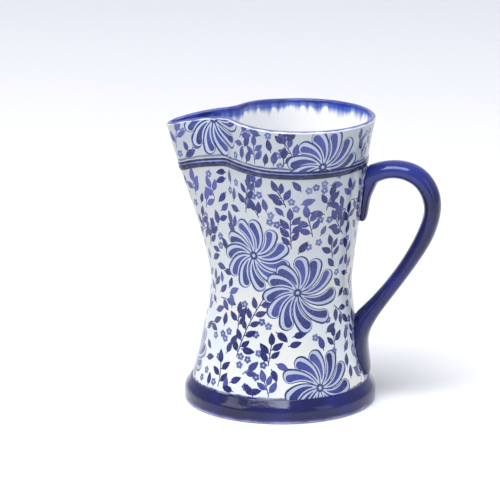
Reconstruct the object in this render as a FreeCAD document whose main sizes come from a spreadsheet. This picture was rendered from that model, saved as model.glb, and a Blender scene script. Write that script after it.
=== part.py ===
"""Porcelain cream jug: a waisted, pinched-spout jug with a foot ring, a neck cord and a strap handle.

Frame: +Z up, origin on the base plane at the axis of the foot ring, the spout towards -X and the
handle towards +X. Millimetres.
"""
import FreeCAD, Part
import os
import math
import Sketcher

V = FreeCAD.Vector

# Driving dimensions, all in millimetres.
DIMENSIONS = {
    # foot ring
    "foot_radius": 37.2,
    "foot_top_radius": 34.6,
    "foot_rise": 9.0,
    "foot_shoulder": 5.4,
    "foot_bore": 31.0,
    "foot_bulge": 4.0,
    "foot_toe": 1.4,
    "seat_radius": 33.2,
    "seat_level": 4.0,
    # body shell
    "wall": 2.1,
    "floor_top": 7.0,
    "floor_radius": 30.6,
    "rim_level": 113.2,
    "lip_droop": 4.8,
    "throat_rise": 0.3,
    "lip_slope": 0.25,
    "lip_sag": 0.30,
    "rim_round": 0.75,
    # mouth outline
    "mouth_radius": 28.6,
    "mouth_back": 36.7,
    "spout_reach": 45.4,
    "channel_half": 8.0,
    "lip_radius": 4.8,
    "pinch_radius": 7.0,
    "waist_radius": 27.5,
    # neck cord
    "cord_level": 96.0,
    "cord_droop": 7.0,
    "cord_width": 3.2,
    "cord_proud": 0.4,
    "cord_groove": 0.5,
    "cord_round": 0.35,
    # handle
    "slip_thickness": 0.5,
    "terminal_split": 60.0,
    # tools that cut the body and divide the slip
    "cutter_reach": 70.0,
    "cutter_top": 130.0,
}

# Body sections from the foot to above the rim:
# height, reach towards the handle, reach towards the spout, share of the mouth's outline.
BODY_SECTIONS = (
    (9.0, 34.3, 34.3, 0.00),
    (20.0, 31.5, 31.5, 0.00),
    (32.0, 29.3, 29.3, 0.00),
    (48.0, 27.9, 27.1, 0.00),
    (60.0, 29.0, 29.2, 0.12),
    (75.0, 30.9, 33.7, 0.36),
    (90.0, 32.8, 38.8, 0.64),
    (104.0, 34.8, 43.2, 0.86),
    (118.0, 37.8, 46.8, 1.00),
)

# Strap centreline from the root under the cord, over the top and down to the lower terminal:
# x, z, width across the strap, thickness.
STRAP_STATIONS = (
    (31.0, 88.4, 11.0, 8.2),
    (36.2, 90.9, 10.6, 7.4),
    (41.5, 92.6, 10.4, 6.9),
    (47.6, 92.5, 10.4, 7.1),
    (53.5, 89.8, 10.4, 7.4),
    (57.3, 84.8, 10.4, 7.2),
    (58.8, 78.0, 10.4, 6.7),
    (57.7, 71.6, 10.2, 6.6),
    (51.6, 58.7, 9.8, 6.1),
    (42.6, 45.4, 9.8, 5.9),
    (35.5, 36.3, 11.6, 7.2),
    (31.4, 30.0, 15.0, 8.6),
    (30.6, 23.5, 17.4, 7.8),
    (32.4, 16.5, 15.6, 5.4),
    (34.0, 12.2, 11.0, 3.0),
    (34.5, 10.6, 3.6, 1.2),
)

# Tail of the upper terminal, pressed down the wall: x, z, width, thickness.
TAIL_STATIONS = (
    (34.6, 90.0, 9.0, 7.4),
    (33.4, 85.6, 9.8, 6.4),
    (32.5, 81.0, 9.0, 4.9),
    (32.0, 76.4, 7.8, 4.3),
    (31.6, 73.0, 6.0, 3.4),
    (31.4, 71.8, 2.8, 1.6),
)

# Tables whose every number gets a cell of its own: name, words for the columns, rows.
TABLES = (
    ("section", ("height", "back", "keel", "share"), BODY_SECTIONS),
    ("strap", ("place", "height", "width", "thickness"), STRAP_STATIONS),
    ("tail", ("place", "height", "width", "thickness"), TAIL_STATIONS),
)

HALF_POINTS = 32          # intervals along half a body section

doc = FreeCAD.newDocument("cream_jug")
sheet = doc.addObject("Spreadsheet::Sheet", "dims")


def fill_sheet():
    """Write each driving dimension to the sheet as a plain number with an alias."""
    cells = list(DIMENSIONS.items())
    for table, words, rows in TABLES:
        for index, numbers in enumerate(rows):
            cells += [("%s_%s_%d" % (table, word, index), number) for word, number in zip(words, numbers)]
    for row, (alias, value) in enumerate(cells, start=1):
        sheet.set("A%d" % row, alias)
        sheet.set("B%d" % row, str(value))
        sheet.setAlias("B%d" % row, alias)
    doc.recompute()


def dim(alias):
    """Value of one cell."""
    return float(sheet.get(alias))


def body_section(index):
    """Height, reach towards the handle, reach towards the spout and mouth's share of one section."""
    return [dim("section_%s_%d" % (word, index)) for word in ("height", "back", "keel", "share")]


# ---------------------------------------------------------------- body outlines

def mouth_half():
    """Half outline of the mouth: round back, pinch, straight channel side, rounded lip."""
    radius = dim("mouth_radius")
    centre = dim("mouth_back") - radius
    pinch = dim("pinch_radius")
    channel = dim("channel_half")
    lip = dim("lip_radius")
    pinch_y = channel + pinch
    pinch_x = centre - math.sqrt((radius + pinch) ** 2 - pinch_y ** 2)
    turn = math.atan2(pinch_y, pinch_x - centre)
    lip_x = lip - dim("spout_reach")

    def on_circle(cx, cy, r, angle):
        return V(cx + r * math.cos(angle), cy + r * math.sin(angle), 0)

    back = Part.Arc(on_circle(centre, 0, radius, 0),
                    on_circle(centre, 0, radius, turn / 2),
                    on_circle(centre, 0, radius, turn))
    start = turn - math.pi
    end = -math.pi / 2
    throat = Part.Arc(on_circle(pinch_x, pinch_y, pinch, start),
                      on_circle(pinch_x, pinch_y, pinch, (start + end) / 2),
                      on_circle(pinch_x, pinch_y, pinch, end))
    side = Part.LineSegment(V(pinch_x, channel, 0), V(lip_x, lip, 0))
    nose = Part.Arc(V(lip_x, lip, 0),
                    on_circle(lip_x, 0, lip, 0.75 * math.pi),
                    V(lip_x - lip, 0, 0))
    wire = Part.Wire([piece.toShape() for piece in (back, throat, side, nose)])
    return wire.discretize(Number=HALF_POINTS + 1)


def section_points(back, keel, share, offset):
    """Closed section: a circle that turns into the mouth outline, moved out by offset."""
    mouth = mouth_half()
    radius = dim("waist_radius")
    half = []
    for index, target in enumerate(mouth):
        angle = math.pi * index / HALF_POINTS
        circle = V(radius * math.cos(angle), radius * math.sin(angle), 0)
        half.append(circle * (1 - share) + target * share)
    raw_back = half[0].x
    raw_keel = -half[-1].x
    stretch = (back + keel) / (raw_back + raw_keel)
    widen = stretch if share == 0 else 1.0
    points = [V((p.x - raw_back) * stretch + back, p.y * widen, 0) for p in half]
    points += [V(p.x, -p.y, 0) for p in points[-2:0:-1]]
    if offset == 0:
        return points
    moved = []
    count = len(points)
    for index, point in enumerate(points):
        along = points[(index + 1) % count] - points[index - 1]
        normal = V(along.y, -along.x, 0).normalize()
        moved.append(point + normal * offset)
    return moved


def section_wire(name, height, points):
    """One loft section as a document object."""
    curve = Part.BSplineCurve()
    curve.interpolate(points, PeriodicFlag=True)
    section = doc.addObject("Part::Feature", name)
    section.Shape = Part.Wire([curve.toShape()])
    section.Placement = FreeCAD.Placement(V(0, 0, height), FreeCAD.Rotation())
    return section


def loft(name, sections):
    """Solid loft through sections that are document objects."""
    solid = doc.addObject("Part::Loft", name)
    solid.Sections = sections
    solid.Solid = True
    solid.Ruled = False
    return solid


def envelope(name, offset):
    """The outside of the body moved out by offset, from the foot to above the rim."""
    sections = []
    for index in range(len(BODY_SECTIONS)):
        height, back, keel, share = body_section(index)
        points = section_points(back, keel, share, offset)
        sections.append(section_wire("%s_section_%d" % (name, index), height, points))
    return loft(name, sections)


def cavity():
    """The hollow of the jug, from its floor to above the rim."""
    radius = dim("floor_radius")
    count = 2 * HALF_POINTS
    floor = [V(radius * math.cos(2 * math.pi * index / count),
               radius * math.sin(2 * math.pi * index / count), 0) for index in range(count)]
    sections = [section_wire("cavity_section_0", dim("floor_top"), floor)]
    for index in range(1, len(BODY_SECTIONS)):
        height, back, keel, share = body_section(index)
        points = section_points(back, keel, share, -dim("wall"))
        sections.append(section_wire("cavity_section_%d" % index, height, points))
    return loft("cavity", sections)


def wave_edges(level, droop):
    """Line across the XZ plane that droops at the lip, lifts at the throat and is level behind."""
    far = dim("cutter_reach")
    reach = dim("spout_reach")
    slope = dim("lip_slope")
    throat = dim("mouth_back") - 2 * dim("mouth_radius")
    points = [V(-far, 0, level - droop - (far - reach) * slope),
              V(-reach, 0, level - droop),
              V((throat - reach) / 2, 0, level - dim("lip_sag") * droop),
              V(throat, 0, level + dim("throat_rise")),
              V(0, 0, level)]
    curve = Part.BSplineCurve()
    curve.interpolate(Points=points, InitialTangent=V(1, 0, slope), FinalTangent=V(1, 0, 0))
    return [curve.toShape(), Part.makeLine(V(0, 0, level), V(far, 0, level))]


def slab(name, bottom_edges, top_edges):
    """Solid between two lines of the XZ plane, extruded right across the body."""
    bottom = Part.Wire(bottom_edges)
    top = Part.Wire(top_edges)
    left = Part.makeLine(bottom.OrderedVertexes[0].Point, top.OrderedVertexes[0].Point)
    right = Part.makeLine(bottom.OrderedVertexes[-1].Point, top.OrderedVertexes[-1].Point)
    face = Part.Face(Part.Wire(Part.__sortEdges__(bottom.Edges + top.Edges + [left, right])))
    far = dim("cutter_reach")
    solid = doc.addObject("Part::Feature", name)
    solid.Shape = face.extrude(V(0, 2 * far, 0))
    solid.Placement = FreeCAD.Placement(V(0, -far, 0), FreeCAD.Rotation())
    return solid


def boolean(kind, name, base, tool):
    """Cut, Common or Fuse of two document objects."""
    result = doc.addObject("Part::%s" % kind, name)
    result.Base = base
    result.Tool = tool
    return result


# ---------------------------------------------------------------- sub-parts

def make_body_shell(outside, cord_ring):
    """Cast wall with its floor, spout, cord groove and a spigot that seats in the foot ring."""
    spigot = doc.addObject("Part::Cylinder", "spigot")
    spigot.setExpression("Radius", "dims.seat_radius")
    spigot.setExpression("Height", "dims.foot_rise - dims.seat_level")
    spigot.setExpression("Placement.Base.z", "dims.seat_level")
    solid = boolean("Fuse", "solid_body", outside, spigot)
    hollow = boolean("Cut", "hollow_body", solid, cavity())
    grooved = boolean("Cut", "grooved_body", hollow, cord_ring)
    far = dim("cutter_reach")
    ceiling = dim("cutter_top")
    top = Part.makeLine(V(-far, 0, ceiling), V(far, 0, ceiling))
    trim = slab("rim_trim", wave_edges(dim("rim_level"), dim("lip_droop")), [top])
    trimmed = boolean("Cut", "trimmed_body", grooved, trim)
    doc.recompute()
    shell = doc.addObject("Part::Fillet", "body_shell")
    shell.Base = trimmed
    radius = dim("rim_round")
    shell.Edges = [(index, radius, radius) for index in rim_edges(trimmed.Shape)]
    shell.Label = "body_shell"
    return shell


def rim_edges(shape):
    """Numbers of the long edges that run round the rim, outside and inside."""
    lowest = dim("rim_level") - dim("lip_droop") - 1
    numbers = []
    for index, edge in enumerate(shape.Edges, start=1):
        if edge.BoundBox.ZMin > lowest and edge.Length > dim("mouth_radius"):
            numbers.append(index)
    return numbers


def make_foot_ring():
    """Turned ring with a bulged outside, a flat to stand on and a seat for the spigot."""
    body = doc.addObject("PartDesign::Body", "foot_ring")
    sketch = body.newObject("Sketcher::SketchObject", "foot_profile")
    plane = [f for f in body.Origin.OriginFeatures if f.Role == "XZ_Plane"][0]
    sketch.AttachmentSupport = [(plane, "")]
    sketch.MapMode = "FlatFace"
    corners = (("seat_radius", "foot_rise"),
               ("foot_top_radius", "foot_rise"),
               ("foot_radius", "foot_shoulder"),
               ("foot_radius", None),
               ("foot_bore", None),
               ("foot_bore", "seat_level"),
               ("seat_radius", "seat_level"))
    points = [V(dim(r), 0 if z is None else dim(z), 0) for r, z in corners]
    count = len(points)
    for index, point in enumerate(points):
        sketch.addGeometry(Part.LineSegment(point, points[(index + 1) % count]), False)
    for index in range(count):
        sketch.addConstraint(Sketcher.Constraint("Coincident", index, 2, (index + 1) % count, 1))
    for index, (r, z) in enumerate(corners):
        across = sketch.addConstraint(Sketcher.Constraint("DistanceX", -1, 1, index, 1, dim(r)))
        sketch.setExpression("Constraints[%d]" % across, "dims.%s" % r)
        if z is None:
            sketch.addConstraint(Sketcher.Constraint("PointOnObject", index, 1, -1))
        else:
            up = sketch.addConstraint(Sketcher.Constraint("DistanceY", -1, 1, index, 1, dim(z)))
            sketch.setExpression("Constraints[%d]" % up, "dims.%s" % z)
    turned = body.newObject("PartDesign::Revolution", "foot_turned")
    turned.Profile = sketch
    turned.ReferenceAxis = (sketch, ["V_Axis"])
    turned.Angle = 360
    doc.recompute()
    base = turned
    for name, alias, radius, height in (
            ("foot_bulge_round", "foot_bulge", dim("foot_radius"), dim("foot_shoulder")),
            ("foot_toe_round", "foot_toe", dim("foot_radius"), 0.0)):
        edges = circles_at(base.Shape, radius, height)
        rounding = body.newObject("PartDesign::Fillet", name)
        rounding.Base = (base, edges)
        rounding.setExpression("Radius", "dims.%s" % alias)
        doc.recompute()
        base = rounding
    body.Label = "foot_ring"
    return body


def circles_at(shape, radius, height):
    """Names of the circular edges with this radius at this height."""
    names = []
    for index, edge in enumerate(shape.Edges, start=1):
        if edge.Curve.TypeId != "Part::GeomCircle":
            continue
        same_height = abs(edge.Curve.Center.z - height) < 1e-4
        if same_height and abs(edge.Curve.Radius - radius) < 1e-4:
            names.append("Edge%d" % index)
    return names


def make_cord_ring():
    """Ring round the neck, as deep as the cord's groove, that follows the wave of the rim."""
    swollen = envelope("cord_envelope", dim("cord_proud"))
    groove = envelope("groove_envelope", -dim("cord_groove"))
    half_width = dim("cord_width") / 2
    droop = dim("cord_droop")
    band = slab("cord_slab", wave_edges(dim("cord_level") - half_width, droop),
                wave_edges(dim("cord_level") + half_width, droop))
    ring = boolean("Cut", "cord_ring", boolean("Common", "cord_disc", swollen, band), groove)
    return ring


def make_neck_cord(ring):
    """Raised cord with rounded edges, bedded in its groove."""
    doc.recompute()
    radius = dim("cord_round")
    cord = doc.addObject("Part::Fillet", "neck_cord")
    cord.Base = ring
    cord.Edges = [(index, radius, radius) for index in widest_edges(ring.Shape)]
    cord.Label = "neck_cord"
    return cord


def widest_edges(shape):
    """Numbers of the long edges that run round the outside of a ring."""
    long_edges = [(edge.Length, index) for index, edge in enumerate(shape.Edges, start=1)
                  if edge.Length > 2 * dim("mouth_radius")]
    middle = sum(length for length, index in long_edges) / len(long_edges)
    return [index for length, index in long_edges if length > middle]


def strap_loft(name, count):
    """Loft of elliptical sections set square to a centreline in the XZ plane."""
    centres = [V(dim("%s_place_%d" % (name, index)), 0, dim("%s_height_%d" % (name, index)))
               for index in range(count)]
    sections = []
    for index in range(count):
        along = (centres[min(index + 1, count - 1)] - centres[max(index - 1, 0)]).normalize()
        across = V(0, 1, 0)
        section = doc.addObject("Part::Ellipse", "%s_section_%d" % (name, index))
        section.Placement.Rotation = FreeCAD.Rotation(across, along.cross(across), along, "ZXY")
        section.setExpression("MajorRadius", "dims.%s_width_%d / 2" % (name, index))
        section.setExpression("MinorRadius", "dims.%s_thickness_%d / 2" % (name, index))
        section.setExpression("Placement.Base.x", "dims.%s_place_%d" % (name, index))
        section.setExpression("Placement.Base.z", "dims.%s_height_%d" % (name, index))
        sections.append(section)
    return loft(name, sections)


def make_handle_parts(outside):
    """Strap handle with its two terminals, and the slip that lutes each to the wall."""
    strap = strap_loft("strap", len(STRAP_STATIONS))
    tail = strap_loft("tail", len(TAIL_STATIONS))
    blank = boolean("Fuse", "handle_blank", strap, tail)
    slip_envelope = envelope("slip_envelope", dim("slip_thickness"))
    handle = boolean("Cut", "handle", blank, slip_envelope)
    handle.Label = "handle"
    skin = boolean("Cut", "slip_skin", slip_envelope, outside)
    slip = boolean("Common", "slip", blank, skin)
    joints = []
    for name, bottom in (("upper_slip_joint", "dims.terminal_split"), ("lower_slip_joint", "0")):
        half = doc.addObject("Part::Box", name + "_side")
        half.setExpression("Length", "2 * dims.cutter_reach")
        half.setExpression("Width", "2 * dims.cutter_reach")
        half.setExpression("Height", "dims.terminal_split")
        half.setExpression("Placement.Base.x", "-dims.cutter_reach")
        half.setExpression("Placement.Base.y", "-dims.cutter_reach")
        half.setExpression("Placement.Base.z", bottom)
        joint = boolean("Common", name, slip, half)
        joint.Label = name
        joints.append(joint)
    return [handle] + joints


def check_document():
    """Stop if any object failed to recompute."""
    for item in doc.Objects:
        if "Invalid" in item.State or "Error" in item.State:
            raise RuntimeError("failed object: %s %s" % (item.Name, item.State))


def export(parts):
    """Check each sub-part's shape and write it to its own STEP file."""
    os.makedirs("parts", exist_ok=True)
    for part in parts:
        shape = part.Shape
        if shape.isNull() or not shape.isValid():
            raise RuntimeError("bad shape: %s" % part.Label)
        box = shape.optimalBoundingBox()
        print("%-18s solids %d  volume %9.1f  x %.2f %.2f  y %.2f %.2f  z %.2f %.2f" % (
            part.Label, len(shape.Solids), shape.Volume,
            box.XMin, box.XMax, box.YMin, box.YMax, box.ZMin, box.ZMax))
        shape.exportStep("parts/%s.step" % part.Label)


fill_sheet()
outside_of_body = envelope("outside", 0)
cord_ring = make_cord_ring()
body_shell = make_body_shell(outside_of_body, cord_ring)
foot_ring = make_foot_ring()
neck_cord = make_neck_cord(cord_ring)
handle_parts = make_handle_parts(outside_of_body)
doc.recompute()
check_document()
export([body_shell, foot_ring, neck_cord] + handle_parts)
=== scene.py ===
"""Looks of the porcelain cream jug: the printed body, the neck cord, the foot, the handle and the luting.

The jug is worked out in millimetres and turned into metres as each mesh is made. The print is drawn on
the unrolled wall: `around` runs from 0 at the lip to 88 at the handle, positive on the side towards -Y,
and `up` runs from the top of the foot to the rim.
"""

import math
import random

import bmesh
import bpy
import numpy as np
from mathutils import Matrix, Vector
from mathutils.geometry import delaunay_2d_cdt


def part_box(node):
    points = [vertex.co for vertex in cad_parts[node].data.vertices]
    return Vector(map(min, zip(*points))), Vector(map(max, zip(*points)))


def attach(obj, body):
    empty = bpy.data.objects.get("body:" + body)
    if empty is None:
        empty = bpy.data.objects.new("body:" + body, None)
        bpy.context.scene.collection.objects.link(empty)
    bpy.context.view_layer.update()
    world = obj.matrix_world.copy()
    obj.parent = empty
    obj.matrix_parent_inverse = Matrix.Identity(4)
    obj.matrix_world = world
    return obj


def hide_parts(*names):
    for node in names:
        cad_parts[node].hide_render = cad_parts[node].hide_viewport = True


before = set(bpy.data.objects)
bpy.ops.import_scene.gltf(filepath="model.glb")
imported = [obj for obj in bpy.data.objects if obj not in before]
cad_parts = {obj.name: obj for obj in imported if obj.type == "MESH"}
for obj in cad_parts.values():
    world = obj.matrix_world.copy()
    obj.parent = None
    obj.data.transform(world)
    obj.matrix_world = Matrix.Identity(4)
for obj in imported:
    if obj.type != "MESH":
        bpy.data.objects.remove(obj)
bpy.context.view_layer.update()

MM = 0.001

# Outer wall: height, reach towards the handle, reach towards the spout, share of the mouth's outline.
BODY_SECTIONS = np.array((
    (9.0, 34.3, 34.3, 0.00),
    (20.0, 31.5, 31.5, 0.00),
    (32.0, 29.3, 29.3, 0.00),
    (48.0, 27.9, 27.1, 0.00),
    (60.0, 29.0, 29.2, 0.12),
    (75.0, 30.9, 33.7, 0.36),
    (90.0, 32.8, 38.8, 0.64),
    (104.0, 34.8, 43.2, 0.86),
    (118.0, 37.8, 46.8, 1.00)))

# Mouth: a round bowl, a lip at the end of the spout and a pinch between them.
MOUTH_RADIUS = 28.6
MOUTH_BACK = 36.7
SPOUT_REACH = 45.4
CHANNEL_HALF = 8.0
LIP_RADIUS = 4.8
PINCH_RADIUS = 7.0
THROAT = MOUTH_BACK - 2 * MOUTH_RADIUS
WAIST_RADIUS = 27.5

# Wall, floor and the seat in the foot ring.
WALL = 2.1
FOOT_TOP = 9.0
SEAT_LEVEL = 4.0
SEAT_RADIUS = 33.2
FLOOR_TOP = 7.0
FLOOR_ROUND = 7.0

# Rim: its level at the back, how far the wall stops below it, how high the roll stands and its way over.
RIM_LEVEL = 113.2
RIM_ROLL = 0.9
RIM_CREST = 0.81
RIM_ACROSS = 2.6

# Cord, and the wave that it shares with the rim.
CORD_LEVEL = 96.0
CORD_WIDTH = 3.2
LIP_DROOP = 4.8
CORD_DROOP = 7.0
LIP_SAG = 0.30
LIP_SLOPE = 0.25
THROAT_RISE = 0.3
WAVE_ROUNDS = 12

# Print: half the way round in print units, its top, and the steps in which one side of the wall is kept.
PRINT_HALF = 88.0
PRINT_TOP = RIM_LEVEL - RIM_ROLL
SIDE_STEPS = 400
PROBE = 0.25


def arc(x, y, radius, start, end, count=200):
    """Points along an arc from one angle to another."""
    angle = np.linspace(start, end, count)
    return np.stack([x + radius * np.cos(angle), y + radius * np.sin(angle)], 1)


def mouth_side():
    """Half of the mouth's outline, from the lip to the back, in evenly spaced points."""
    centre = MOUTH_BACK - MOUTH_RADIUS
    pinch_y = CHANNEL_HALF + PINCH_RADIUS
    pinch_x = centre - math.sqrt((MOUTH_RADIUS + PINCH_RADIUS) ** 2 - pinch_y ** 2)
    turn = math.atan2(pinch_y, pinch_x - centre)
    path = np.vstack([
        arc(LIP_RADIUS - SPOUT_REACH, 0, LIP_RADIUS, math.pi, math.pi / 2),
        arc(pinch_x, pinch_y, PINCH_RADIUS, -math.pi / 2, turn - math.pi),
        arc(centre, 0, MOUTH_RADIUS, turn, 0)])
    run = np.r_[0, np.cumsum(np.linalg.norm(np.diff(path, axis=0), axis=1))]
    at = np.linspace(0, run[-1], SIDE_STEPS + 1)
    return np.stack([np.interp(at, run, path[:, 0]), np.interp(at, run, path[:, 1])], 1)


def section_side(back, keel, share):
    """Half of one section: a circle mixed with the mouth's outline, stretched to its two reaches."""
    angle = np.linspace(math.pi, 0, SIDE_STEPS + 1)
    circle = WAIST_RADIUS * np.stack([np.cos(angle), np.sin(angle)], 1)
    side = circle * (1 - share) + MOUTH_SIDE * share
    stretch = (back + keel) / (side[-1, 0] - side[0, 0])
    side[:, 0] = (side[:, 0] - side[-1, 0]) * stretch + back
    if share == 0:
        side[:, 1] *= stretch
    return side


def spline_bends(at, values):
    """Second derivatives of the natural cubic spline through the values."""
    gap = np.diff(at)
    matrix = np.eye(len(at))
    right = np.zeros_like(values)
    for i in range(1, len(at) - 1):
        matrix[i, i - 1:i + 2] = gap[i - 1], 2 * (gap[i - 1] + gap[i]), gap[i]
        right[i] = 6 * ((values[i + 1] - values[i]) / gap[i] - (values[i] - values[i - 1]) / gap[i - 1])
    return np.linalg.solve(matrix, right.reshape(len(at), -1)).reshape(values.shape)


MOUTH_SIDE = mouth_side()
HEIGHTS = BODY_SECTIONS[:, 0]
SIDES = np.array([section_side(*row[1:]) for row in BODY_SECTIONS])
BENDS = spline_bends(HEIGHTS, SIDES)
SIDE_LENGTHS = np.linalg.norm(np.diff(SIDES, axis=1), axis=2).sum(1)


def outline_point(around, z):
    """Point (x, y) of the outer wall at height z; around counts print units and may run past the seam."""
    around = (np.asarray(around, float) + PRINT_HALF) % (2 * PRINT_HALF) - PRINT_HALF
    z = np.asarray(z, float)
    k = np.clip(np.searchsorted(HEIGHTS, z) - 1, 0, len(HEIGHTS) - 2)
    gap = HEIGHTS[k + 1] - HEIGHTS[k]
    low = (HEIGHTS[k + 1] - z) / gap
    step = np.abs(around) / PRINT_HALF * SIDE_STEPS
    i = np.clip(step.astype(int), 0, SIDE_STEPS - 1)
    part = (step - i)[..., None]

    def pick(table, row):
        return table[row, i] * (1 - part) + table[row, i + 1] * part

    low, gap = low[..., None], gap[..., None]
    high = 1 - low
    point = (low * pick(SIDES, k) + high * pick(SIDES, k + 1)
             + ((low ** 3 - low) * pick(BENDS, k) + (high ** 3 - high) * pick(BENDS, k + 1)) * gap ** 2 / 6)
    point[..., 1] *= -np.where(around < 0, -1, 1)
    return point


def wave(x, droop):
    """Rise at x of a line that dips by droop at the lip, lifts at the throat and is level behind."""
    at = np.array((-70.0, -SPOUT_REACH, (THROAT - SPOUT_REACH) / 2, THROAT, 0.0))
    before = -droop + (at[0] + SPOUT_REACH) * LIP_SLOPE
    rises = np.array((before, -droop, -LIP_SAG * droop, THROAT_RISE, 0.0))
    slope = np.gradient(rises, at)
    slope[-1] = 0
    k = np.clip(np.searchsorted(at, x) - 1, 0, len(at) - 2)
    gap = at[k + 1] - at[k]
    s = np.clip((x - at[k]) / gap, 0, 1)
    rise = ((2 * s ** 3 - 3 * s ** 2 + 1) * rises[k] + (s ** 3 - 2 * s ** 2 + s) * gap * slope[k]
            + (3 * s ** 2 - 2 * s ** 3) * rises[k + 1] + (s ** 3 - s ** 2) * gap * slope[k + 1])
    return np.where(x > 0, 0.0, rise)


def wave_height(around, level, droop):
    """Height at which such a line at this level meets the wall."""
    z = np.full(np.shape(around), level)
    for _ in range(WAVE_ROUNDS):
        z = level + wave(outline_point(around, z)[..., 0], droop)
    return z


def outward(around, z):
    """Level unit vector (x, y) that points out of the wall."""
    along = outline_point(around + PROBE, z) - outline_point(around - PROBE, z)
    across = np.stack([along[..., 1], -along[..., 0]], -1)
    across /= np.linalg.norm(across, axis=-1, keepdims=True)
    return across * OUTWARD_SIGN


# The sign is settled at the lip, at a height near the waist.
OUTWARD_SIGN = 1.0
OUTWARD_SIGN = math.copysign(1.0, float(outward(0.0, 50.0)[0] * outline_point(0.0, 50.0)[0]))


def wall_height(around, up):
    """Height of the wall under the print's coordinates; the print's top follows the wave of the rim."""
    top = wave_height(around, RIM_LEVEL, LIP_DROOP) - RIM_ROLL
    return FOOT_TOP + (up - FOOT_TOP) * (top - FOOT_TOP) / (PRINT_TOP - FOOT_TOP)


def wall_point(around, up):
    """Point (x, y, z) of the outer wall under the print's coordinates."""
    z = wall_height(around, up)
    return np.concatenate([outline_point(around, z), z[..., None]], -1)


def wall_normal(around, up):
    """Unit vector square to the outer wall, pointing out of it."""
    side = wall_point(around + PROBE, up) - wall_point(around - PROBE, up)
    rise = wall_point(around, up + PROBE) - wall_point(around, up - PROBE)
    normal = np.cross(side, rise)
    normal /= np.linalg.norm(normal, axis=-1, keepdims=True)
    out = outward(around, wall_height(around, up))
    return normal * np.sign((normal[..., :2] * out).sum(-1, keepdims=True))


# ---- the print

# Slots of the body's materials, in the order in which it is given them.
GROUND, PALE, LINE, CORE, LEAF, FLORET, INSIDE, RIM = range(8)

# Pinwheel flowers on one sheet: around, up, radius, lopsided share, its direction in degrees.
BODY_FLOWERS = (
    (37, 63.5, 14.4, 0.00, 0),
    (54, 49.5, 15.6, 0.13, -20),
    (61, 12.5, 15.2, 0.00, 0),
    (3, 20, 14.0, 0.00, 0),
)
NECK_FLOWERS = (
    (62.5, 99, 15.0, 0.08, 0),
    (19.5, 112.5, 14.2, 0.08, -20),
)

# Sprigs on one sheet: around, up, heading in degrees, leaves, length of the stem.
BODY_SPRIGS = (
    (8, 83.5, 95, 4, 4), (13, 78.5, 75, 2, 2), (19, 70.5, 172, 6, 9), (26.5, 88.5, 95, 1, 0),
    (24.5, 90.5, 200, 1, 1), (24, 86, 215, 1, 1), (34.5, 79.5, 91, 6, 9), (38.8, 88, 95, 3, 2),
    (31.5, 79.5, 185, 1, 0), (25, 75, -35, 1, 0), (19, 72, 75, 1, 0), (50, 83.5, 105, 5, 5),
    (55.5, 89.5, 115, 1, 0), (55, 84.5, 25, 1, 0), (65.5, 91.3, 5, 1, 0), (64.5, 81.5, 82, 4, 4),
    (64, 80, 165, 1, 0), (75.5, 85, 92, 3, 2), (73.5, 80, 140, 3, 3), (76, 83.5, 5, 2, 3),
    (67.5, 80, 15, 1, 0), (43, 81, 100, 1, 0), (40, 78.5, 130, 2, 2), (51.5, 67, 92, 7, 9),
    (59.5, 71.5, 100, 5, 6), (73, 70.5, 125, 5, 6), (75, 74, 75, 3, 3), (54, 65, 60, 1, 0),
    (68.5, 61.5, 95, 4, 4), (77.5, 60.5, 110, 2, 3), (70, 58, 150, 1, 0), (80, 52, 120, 3, 4),
    (84, 62, 80, 4, 6), (85, 73, 100, 5, 7), (83, 84, 85, 4, 6),
    (14, 58.5, 15, 1, 0), (17, 57, 0, 1, 0), (21.5, 55, 5, 1, 0), (15, 45, 92, 3, 4),
    (19, 46.5, 15, 1, 0), (20, 44.5, 8, 2, 3), (25, 47, 20, 1, 0), (27, 41.5, 95, 1, 0),
    (17.5, 39, 15, 1, 0), (31, 34.5, 100, 4, 4), (14, 33, 15, 2, 3), (31.5, 23.5, 80, 11, 21),
    (33, 27, 5, 1, 0), (28, 27.5, 50, 1, 0), (27, 24, 80, 1, 0), (25.5, 11, 82, 4, 7),
    (16, 20, 25, 1, 0), (12, 30.5, 20, 1, 0), (34.5, 17.5, 50, 2, 2), (30, 13.5, 10, 1, 0),
    (20.5, 10, 95, 1, 0), (28.5, 10, 100, 1, 0), (43.5, 21.5, 82, 5, 6), (46, 34.5, -25, 1, 0),
    (50.5, 29, 10, 1, 0), (51, 32.3, -5, 1, 1), (44.5, 20.5, -60, 1, 0), (46, 22.5, -10, 1, 0),
    (44, 10, 97, 4, 4), (37, 10.8, 20, 1, 0), (32, 10.5, 170, 1, 0), (70.5, 42.5, -35, 4, 5),
    (65.5, 32.5, 50, 1, 0), (69, 26, 85, 3, 3), (64, 26, 100, 1, 0), (75, 27.5, 60, 1, 0),
    (73.5, 23.5, 60, 1, 0), (74, 17.5, 80, 1, 0), (77, 16.5, -30, 1, 0), (83, 40, 95, 4, 6),
    (82, 24, 90, 5, 7), (81, 10, 90, 3, 5), (5, 58, 95, 5, 8), (4, 40, 80, 4, 6),
    (2, 84, 100, 3, 4), (10, 37, 85, 2, 2), (24, 63, 100, 1, 0), (39, 9.8, 150, 1, 0),
    (13, 64, 85, 4, 5), (7, 70, 70, 3, 4), (18, 82, 100, 3, 3), (29, 70, 110, 3, 3),
)
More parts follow.
